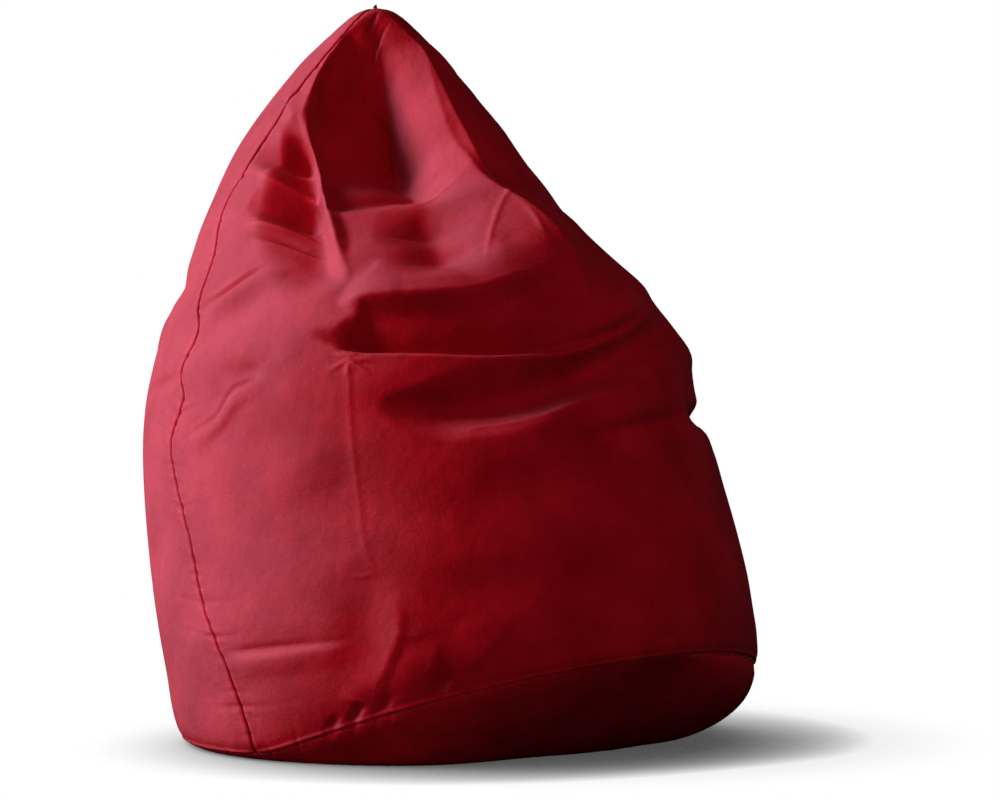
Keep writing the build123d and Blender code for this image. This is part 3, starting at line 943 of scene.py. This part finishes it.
# Crests of the creases are painted lighter: partly wear of the cloth, partly painted highlight
crest_wear_highlight = np.clip((creases - soften(creases, 10)) / CREST_LIGHTENED_HEIGHT, 0, 1)
towards_key_lamp = KEY_LAMP_WAY + 0.5 * up
painted_light = ease((skin_normals @ towards_key_lamp - PAINTED_LIGHT_START) / (PAINTED_LIGHT_END - PAINTED_LIGHT_START))
painted_light = painted_light * ease((normals @ towards_key_lamp - FLANK_START) / (FLANK_END - FLANK_START))
painted_light = painted_light * soften(in_light(), LIGHT_SOFTENING) ** PAINTED_LIGHT_POWER
front_panel = wall_panel("front_panel_cloth", slice(0, FRONT_COLUMNS + 1), (0, -1))
back_panel = wall_panel("back_panel_cloth", slice(FRONT_COLUMNS, None), (1, 0))
base_panel = bottom_panel("base_panel_cloth")


# Stitches: length, step and radius of the thread
STITCH = (0.0030, 0.0040, 0.00035)
LINER_STITCH = (0.0030, 0.0042, 0.00025)
STITCH_RINGS, STITCH_SIDES = 5, 6


def stitch_row(name, path, outward, length, step, radius):
    """A row of stitches along a path, each a short thread with its ends drawn into the cloth."""
    run = arc_from(path, 0)
    middles = np.arange(step, run[-1] - step, step)

    def at(values, place):
        return np.stack([np.interp(place, run, line) for line in values.T], axis=-1)

    ahead = unit(at(path, middles + 0.001) - at(path, middles - 0.001))
    out = at(outward, middles)
    out = unit(out - ahead * np.sum(out * ahead, axis=1, keepdims=True))
    beside = np.cross(ahead, out)
    along = np.linspace(-1, 1, STITCH_RINGS)[:, None]
    turn = np.linspace(0, 2 * math.pi, STITCH_SIDES, endpoint=False)[:, None]
    spots = at(path, middles)[:, None] + ahead[:, None] * along * length / 2
    spots = spots + out[:, None] * radius * (0.5 - 1.6 * along**2)
    rings = np.cos(turn) * out[:, None] + np.sin(turn) * beside[:, None]
    thick = radius * (1 - 0.35 * along**2)
    points = spots[:, :, None] + thick[:, None] * rings[:, None]
    number = np.arange(points[..., 0].size).reshape(points.shape[:3])
    faces = []
    for stitch in number:
        faces += faces_of(round_closed(stitch)).tolist()
        faces += [stitch[0].tolist(), stitch[-1, ::-1].tolist()]
    mesh = bpy.data.meshes.new(name)
    mesh.from_pydata(points.reshape(-1, 3).tolist(), [], faces)
    mesh.polygons.foreach_set("use_smooth", np.ones(len(mesh.polygons), bool))
    return placed(name, mesh)


def joined(name, pieces):
    """Several rows of stitches as one piece."""
    shape = bmesh.new()
    for piece in pieces:
        shape.from_mesh(piece.data)
        bpy.data.objects.remove(piece)
    mesh = bpy.data.meshes.new(name)
    shape.to_mesh(mesh)
    shape.free()
    return placed(name, mesh)


ZIP_SEAM_OFF = 0.005  # from the edge of the zip's opening to the stitches beside it
ZIP_SEAM_END = 0.004  # how far they run on past the zip
SEWN = slice(int(0.03 * WALL_ROWS), WALL_ROWS)
left_stitches = stitch_row("left_stitches", skin[SEWN, 0], skin_normals[SEWN, 0], *STITCH)
right_path = skin[SEWN, FRONT_COLUMNS]
right_out = skin_normals[SEWN, FRONT_COLUMNS]
_, right_height, _ = zip_places(right_path)
above_zip = right_height > ZIP_LENGTH - SLOT_END + 0.002
below_zip = right_height < SLOT_END - 0.002
rows_right = [
    stitch_row("right_upper", right_path[above_zip], right_out[above_zip], *STITCH),
    stitch_row("right_lower", right_path[below_zip], right_out[below_zip], *STITCH),
]
for side in (-1, 1):
    off = side * (SLOT_HALF_WIDTH + ZIP_SEAM_OFF)
    drop = -(off**2) / (2 * WALL_RADIUS_AT_ZIP) + 0.0001
    height = np.linspace(-ZIP_SEAM_END, ZIP_LENGTH + ZIP_SEAM_END, 60)[:, None]
    line = zip_foot + height * zip_up + off * zip_side + drop * zip_out
    rows_right.append(stitch_row("beside_zip", line, zip_out + 0 * line, *STITCH))
right_stitches = joined("right_stitches", rows_right)
ring = round_closed(skin)[WALL_ROWS - 1]
ring_out = round_closed(skin_normals)[WALL_ROWS - 1]
base_stitches = stitch_row("base_stitches", ring, ring_out, *STITCH)


# Liner and beads inside the cover
INNER_FRONT, INNER_BACK, INNER_ROWS, INNER_BASE = 90, 70, 100, 30


def inside(depth):
    """The cover's shape, coarser and drawn in by a depth."""
    rows = places_along(INNER_ROWS, INNER_BASE, 0, 2)
    columns = places_along(INNER_FRONT + 1, INNER_BACK, 0, 2)
    coarse = resample(skin, row_place, column_place, rows, columns)
    drawn = coarse - depth * soften(grid_normals(coarse), 4)
    drawn[..., 2] = np.clip(drawn[..., 2], depth, TOP - 2.5 * depth)
    return drawn


def inner_piece(name, points):
    """A piece inside the cover, without lighter crests or painted light."""
    return grid_mesh(name, points, np.stack([arc_from(points, 1), arc_from(points, 0)], axis=-1))


LINER_DEPTH = 0.010
FILL_DEPTH = 0.014
liner = round_closed(inside(LINER_DEPTH))
liner_front = inner_piece("liner_front_cloth", liner[:INNER_ROWS, : INNER_FRONT + 1])
liner_back = inner_piece("liner_back_cloth", liner[:INNER_ROWS, INNER_FRONT:])
liner_base = inner_piece("liner_base_cloth", liner[INNER_ROWS - 1 :])
liner_out = round_closed(grid_normals(liner[:, :-1]))


def liner_stitches(name, *place):
    """Stitches along one row or column of the liner."""
    return stitch_row(name, liner[place], liner_out[place], *LINER_STITCH)


liner_left_stitches = liner_stitches("liner_left_stitches", slice(4, INNER_ROWS), 0)
liner_right_stitches = liner_stitches("liner_right_stitches", slice(4, INNER_ROWS), INNER_FRONT)
liner_base_stitches = liner_stitches("liner_base_stitches", INNER_ROWS - 1)
bead_fill = inner_piece("bead_fill_heap", round_closed(inside(FILL_DEPTH)))


# Materials
BLOTCH_SCALE, CRINKLE_SCALE = 11.0, 38.0
THREAD_FINE, THREAD_LONG = 800, 45  # how often the threads vary across and along them, per metre
MOTTLE_LOW, MOTTLE_RANGE = 0.84, 0.32
CREST_BRIGHTER = 0.3


def feed(tree, node, inputs):
    """Feeds a node's inputs with values or with other nodes' sockets."""
    for key, value in inputs.items():
        if isinstance(value, bpy.types.NodeSocket):
            tree.links.new(value, node.inputs[key])
        else:
            node.inputs[key].default_value = value


def add(tree, kind, inputs, **options):
    """Adds a node with its options and inputs."""
    node = tree.nodes.new(kind)
    for name, value in options.items():
        setattr(node, name, value)
    feed(tree, node, inputs)
    return node


def calc(tree, operation, *values):
    return add(tree, "ShaderNodeMath", dict(enumerate(values)), operation=operation).outputs[0]


def mixed(tree, share, first, second):
    """Colour between two others."""
    return add(tree, "ShaderNodeMix", {0: share, 6: first, 7: second}, data_type="RGBA").outputs[2]


def noise(tree, place, scale, detail):
    inputs = {"Vector": place, "Scale": scale, "Detail": detail}
    return add(tree, "ShaderNodeTexNoise", inputs).outputs["Fac"]


def streaks(tree, place, across, along):
    """Uneven threads: noise that is fine one way of the cloth and long the other."""
    stretch = {0: place, 1: (across, along, 1)}
    return noise(tree, add(tree, "ShaderNodeVectorMath", stretch, operation="MULTIPLY").outputs[0], 1.0, 2)


def ranged(tree, value, **limits):
    """A value brought from one range to another."""
    inputs = {name.replace("_", " ").title(): limit for name, limit in limits.items()}
    return add(tree, "ShaderNodeMapRange", {"Value": value, **inputs}).outputs[0]


def bump(tree, strength, distance, height, **more):
    inputs = {"Strength": strength, "Distance": distance, "Height": height}
    return add(tree, "ShaderNodeBump", inputs, **more)


def new_material(name):
    material = bpy.data.materials.new(name)
    material.use_nodes = True
    return material, material.node_tree, material.node_tree.nodes["Principled BSDF"]


def surface(name, look, *values):
    """A material whose inputs come from one of the looks below, at places of the object's body."""
    material, tree, shader = new_material(name)
    body = add(tree, "ShaderNodeTexCoord", {}).outputs["Object"]
    feed(tree, shader, look(tree, body, *values))
    return material


def cloth_look(tree, body, dark, light, pale, pitch, sheen):
    """Plain weave with uneven threads, soft blotches of shade, painted light where the key lamp falls, and
    paler crests of creases, partly wear and partly painted highlight.
    """
    place = add(tree, "ShaderNodeUVMap", {}, uv_map="cloth").outputs["UV"]
    apart = add(tree, "ShaderNodeSeparateXYZ", {0: place})
    turn = math.pi / pitch
    warp = calc(tree, "SINE", calc(tree, "MULTIPLY", apart.outputs[0], turn))
    weft = calc(tree, "SINE", calc(tree, "MULTIPLY", apart.outputs[1], turn))
    weave = calc(tree, "MULTIPLY", warp, weft)
    down_threads = streaks(tree, place, THREAD_FINE, THREAD_LONG)
    cross_threads = streaks(tree, place, THREAD_LONG, THREAD_FINE)
    blotches = calc(tree, "MULTIPLY", noise(tree, body, BLOTCH_SCALE, 5.0), 0.6)
    shade = calc(tree, "MULTIPLY_ADD", down_threads, 0.25, blotches)
    shade = calc(tree, "MULTIPLY_ADD", cross_threads, 0.15, shade)
    shade = ranged(tree, shade, from_min=0.36, from_max=0.64)
    # Painted light: the pale colour shows where the key lamp's light falls on the cloth
    painted_light_share = add(tree, "ShaderNodeAttribute", {}, attribute_name="painted_light").outputs["Fac"]
    colour = mixed(tree, painted_light_share, mixed(tree, shade, dark, light), pale)
    # Crests of creases come out lighter, as wear and as painted highlight
    crest_wear_highlight_share = add(tree, "ShaderNodeAttribute", {}, attribute_name="crest_wear_highlight").outputs["Fac"]
    mottle = calc(tree, "MULTIPLY_ADD", shade, MOTTLE_RANGE, MOTTLE_LOW)
    brighter = calc(tree, "MULTIPLY_ADD", crest_wear_highlight_share, CREST_BRIGHTER, mottle)
    colour = add(tree, "ShaderNodeHueSaturation", {"Value": brighter, "Color": colour}).outputs[0]
    threads = calc(tree, "MULTIPLY_ADD", weave, 0.25, calc(tree, "ADD", down_threads, cross_threads))
    fine = bump(tree, 0.7, 0.0007, threads)
    crinkled = bump(tree, 0.8, 0.004, noise(tree, body, CRINKLE_SCALE, 5.0))
    feed(tree, crinkled, {"Normal": fine.outputs[0]})
    return {
        "Base Color": colour,
        "Normal": crinkled.outputs[0],
        "Roughness": ranged(tree, down_threads, to_min=0.68, to_max=0.86),
        "Specular IOR Level": 0.0,
        "Sheen Weight": sheen,
        "Sheen Roughness": 0.5,
        "Sheen Tint": (1, 0.4, 0.5, 1),
    }


def thread_look(tree, body, dark, light):
    """Twisted sewing thread."""
    twist = noise(tree, body, 900.0, 3.0)
    normal = bump(tree, 0.6, 0.0002, twist).outputs[0]
    return {"Base Color": mixed(tree, twist, dark, light), "Normal": normal, "Roughness": 0.65}


def tape_look(tree, body, dark, light):
    """Fine ribbed zip tape."""
    wave = {"Vector": body, "Scale": 220.0, "Distortion": 0.6}
    ribs = add(tree, "ShaderNodeTexWave", wave, bands_direction="Y").outputs["Fac"]
    shade = calc(tree, "MULTIPLY", ribs, noise(tree, body, 260.0, 3.0))
    return {
        "Base Color": mixed(tree, shade, dark, light),
        "Normal": bump(tree, 0.5, 0.0003, ribs).outputs[0],
        "Roughness": 0.8,
        "Specular IOR Level": 0.2,
    }


def hard_look(tree, body, dark, light, metallic, roughness, grain):
    """Moulded or cast piece with fine grain and rubbed places."""
    specks = noise(tree, body, grain, 5.0)
    rubbed = noise(tree, body, grain / 9, 2.0)
    return {
        "Base Color": mixed(tree, rubbed, dark, light),
        "Normal": bump(tree, 0.25, 0.0001, specks).outputs[0],
        "Roughness": ranged(tree, specks, to_min=roughness - 0.1, to_max=roughness + 0.1),
        "Metallic": metallic,
    }


def bead_look(tree, body, bead, gap):
    """Foam beads, packed close, with painted shade in the gaps between them."""
    beads = add(tree, "ShaderNodeTexVoronoi", {"Vector": body, "Scale": 220.0}).outputs["Distance"]
    return {
        "Base Color": mixed(tree, ranged(tree, beads, from_max=0.75), bead, gap),
        "Normal": bump(tree, 0.9, 0.002, beads, invert=True).outputs[0],
        "Roughness": 0.8,
    }


# Red cloth: dark and light tones of its own colour, then the paler, pinker colour of its painted light
RED_CLOTH = ((0.37, 0.002, 0.008, 1), (0.44, 0.005, 0.013, 1), (0.46, 0.062, 0.094, 1))
LINER_CLOTH = ((0.62, 0.61, 0.58, 1), (0.78, 0.77, 0.74, 1), (0.78, 0.77, 0.74, 1))
RED_NYLON = ((0.15, 0.006, 0.012, 1), (0.24, 0.012, 0.020, 1))
NICKEL = ((0.42, 0.41, 0.39, 1), (0.62, 0.61, 0.59, 1))
red_cloth = surface("red_cloth", cloth_look, *RED_CLOTH, 0.0009, 0.05)
liner_cloth = surface("liner_cloth", cloth_look, *LINER_CLOTH, 0.0007, 0.1)
red_thread = surface("red_thread", thread_look, (0.10, 0.004, 0.008, 1), (0.20, 0.008, 0.014, 1))
white_thread = surface("white_thread", thread_look, (0.6, 0.6, 0.57, 1), (0.8, 0.8, 0.78, 1))
red_tape = surface("red_tape", tape_look, (0.16, 0.004, 0.010, 1), (0.34, 0.012, 0.024, 1))
red_nylon = surface("red_nylon", hard_look, *RED_NYLON, 0.0, 0.45, 900.0)
nickel = surface("nickel", hard_look, *NICKEL, 1.0, 0.32, 700.0)
# The beads' second colour is painted shade between them
foam_beads = surface("foam_beads", bead_look, (0.86, 0.86, 0.84, 1), (0.45, 0.45, 0.43, 1))

NEW_PIECES = [
    (front_panel, "front_panel", "cover_cloth", red_cloth),
    (back_panel, "back_panel", "cover_cloth", red_cloth),
    (base_panel, "base_panel", "cover_cloth", red_cloth),
    (left_stitches, "left_seam_thread", "seam_thread", red_thread),
    (right_stitches, "right_seam_thread", "seam_thread", red_thread),
    (base_stitches, "base_seam_thread", "seam_thread", red_thread),
    (liner_front, "liner_front_panel", "liner_cloth", liner_cloth),
    (liner_back, "liner_back_panel", "liner_cloth", liner_cloth),
    (liner_base, "liner_base_panel", "liner_cloth", liner_cloth),
    (liner_left_stitches, "liner_left_thread", "liner_thread", white_thread),
    (liner_right_stitches, "liner_right_thread", "liner_thread", white_thread),
    (liner_base_stitches, "liner_base_thread", "liner_thread", white_thread),
    (bead_fill, "bead_fill", "beads", foam_beads),
]
for piece, node, slot_name, material in NEW_PIECES:
    piece.data.materials.append(material)
    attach(piece, "bag")
    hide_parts(node)
CARRIED_OVER = {
    "zip_front_tape": red_tape,
    "zip_back_tape": red_tape,
    "zip_front_teeth": red_nylon,
    "zip_back_teeth": red_nylon,
    "zip_lower_stop": nickel,
    "zip_upper_stop": nickel,
    "zip_slider": nickel,
    "zip_pull_tab": nickel,
}
# The zip's pieces from the part file take new materials
for node, material in CARRIED_OVER.items():
    piece = frame["nodes"][node]
    piece.data.materials.clear()
    piece.data.materials.append(material)

make_camera()


# Floor, background and lights
AMBIENT = 0.02
WHITE = (1, 1, 1, 1)
SHADE_WAY = up * 0.45 - view_right * 0.72 - view_level * 0.52  # from the floor's shadow towards the key lamp
SHADE_REACH = 0.18
SHADE_POWER = 1.9
# Around this place the floor shows its own shade, and farther off it is plain white
SHADE_MIDDLE = (0.1, -0.1, 0)
SHADE_NEAR, SHADE_FAR = 0.35, 0.62
NEAR_WHITE = 0.82  # share of white at that place


def shown_rays(tree):
    """1 for what the camera sees straight, in gloss or through glass, and 0 for light on its way."""
    path = add(tree, "ShaderNodeLightPath", {}).outputs
    shown = calc(tree, "MAXIMUM", path["Is Camera Ray"], path["Is Glossy Ray"])
    return calc(tree, "MAXIMUM", shown, path["Is Transmission Ray"])


def make_floor():
    bpy.ops.mesh.primitive_plane_add(size=40)
    floor = bpy.context.object
    floor.name = "floor"
    material, tree, pale = new_material("floor")
    feed(tree, pale, {"Base Color": (0.15, 0.15, 0.15, 1), "Roughness": 0.9, "Specular IOR Level": 0.0})
    way = add(tree, "ShaderNodeCombineXYZ", dict(enumerate(SHADE_WAY))).outputs[0]
    near = add(tree, "ShaderNodeAmbientOcclusion", {"Distance": SHADE_REACH, "Normal": way}, samples=8)
    shade = calc(tree, "POWER", near.outputs["AO"], SHADE_POWER)
    white = add(tree, "ShaderNodeEmission", {"Color": shade, "Strength": 1.0})
    place = add(tree, "ShaderNodeNewGeometry", {}).outputs["Position"]
    middle = add(tree, "ShaderNodeVectorMath", {0: place, 1: SHADE_MIDDLE}, operation="DISTANCE")
    limits = {"From Min": SHADE_NEAR, "From Max": SHADE_FAR, "To Min": NEAR_WHITE}
    inputs = {"Value": middle.outputs["Value"], **limits}
    far = add(tree, "ShaderNodeMapRange", inputs, interpolation_type="SMOOTHSTEP").outputs[0]
    share = calc(tree, "MULTIPLY", shown_rays(tree), far)
    mix = add(tree, "ShaderNodeMixShader", {0: share, 1: pale.outputs[0], 2: white.outputs[0]})
    feed(tree, tree.nodes["Material Output"], {"Surface": mix.outputs[0]})
    floor.data.materials.append(material)


def make_world():
    world = bpy.data.worlds.new("world")
    bpy.context.scene.world = world
    world.use_nodes = True
    tree = world.node_tree
    ambient = tree.nodes["Background"]
    feed(tree, ambient, {"Color": WHITE, "Strength": AMBIENT})
    white = add(tree, "ShaderNodeBackground", {"Color": WHITE, "Strength": 1.0})
    mix = add(tree, "ShaderNodeMixShader", {0: shown_rays(tree), 1: ambient.outputs[0], 2: white.outputs[0]})
    feed(tree, tree.nodes["World Output"], {"Surface": mix.outputs[0]})


def soft_lamp(name, power, width, height, place):
    """A rectangular lamp that faces the middle of the bag."""
    data = bpy.data.lights.new(name, "AREA")
    data.energy = power
    data.shape = "RECTANGLE"
    data.size = width
    data.size_y = height
    aim(placed(name, data), place, up * 0.5 - place)


soft_lamp("key", 196, 1.0, 1.2, -view_right * 3.6 + view_level * 0.36 + up * 2.0)
soft_lamp("fill", 46, 1.6, 1.6, view_right * 1.0 + view_level * 3.6 + up * 2.9)
make_floor()
make_world()
bpy.context.scene.view_settings.view_transform = "Standard"
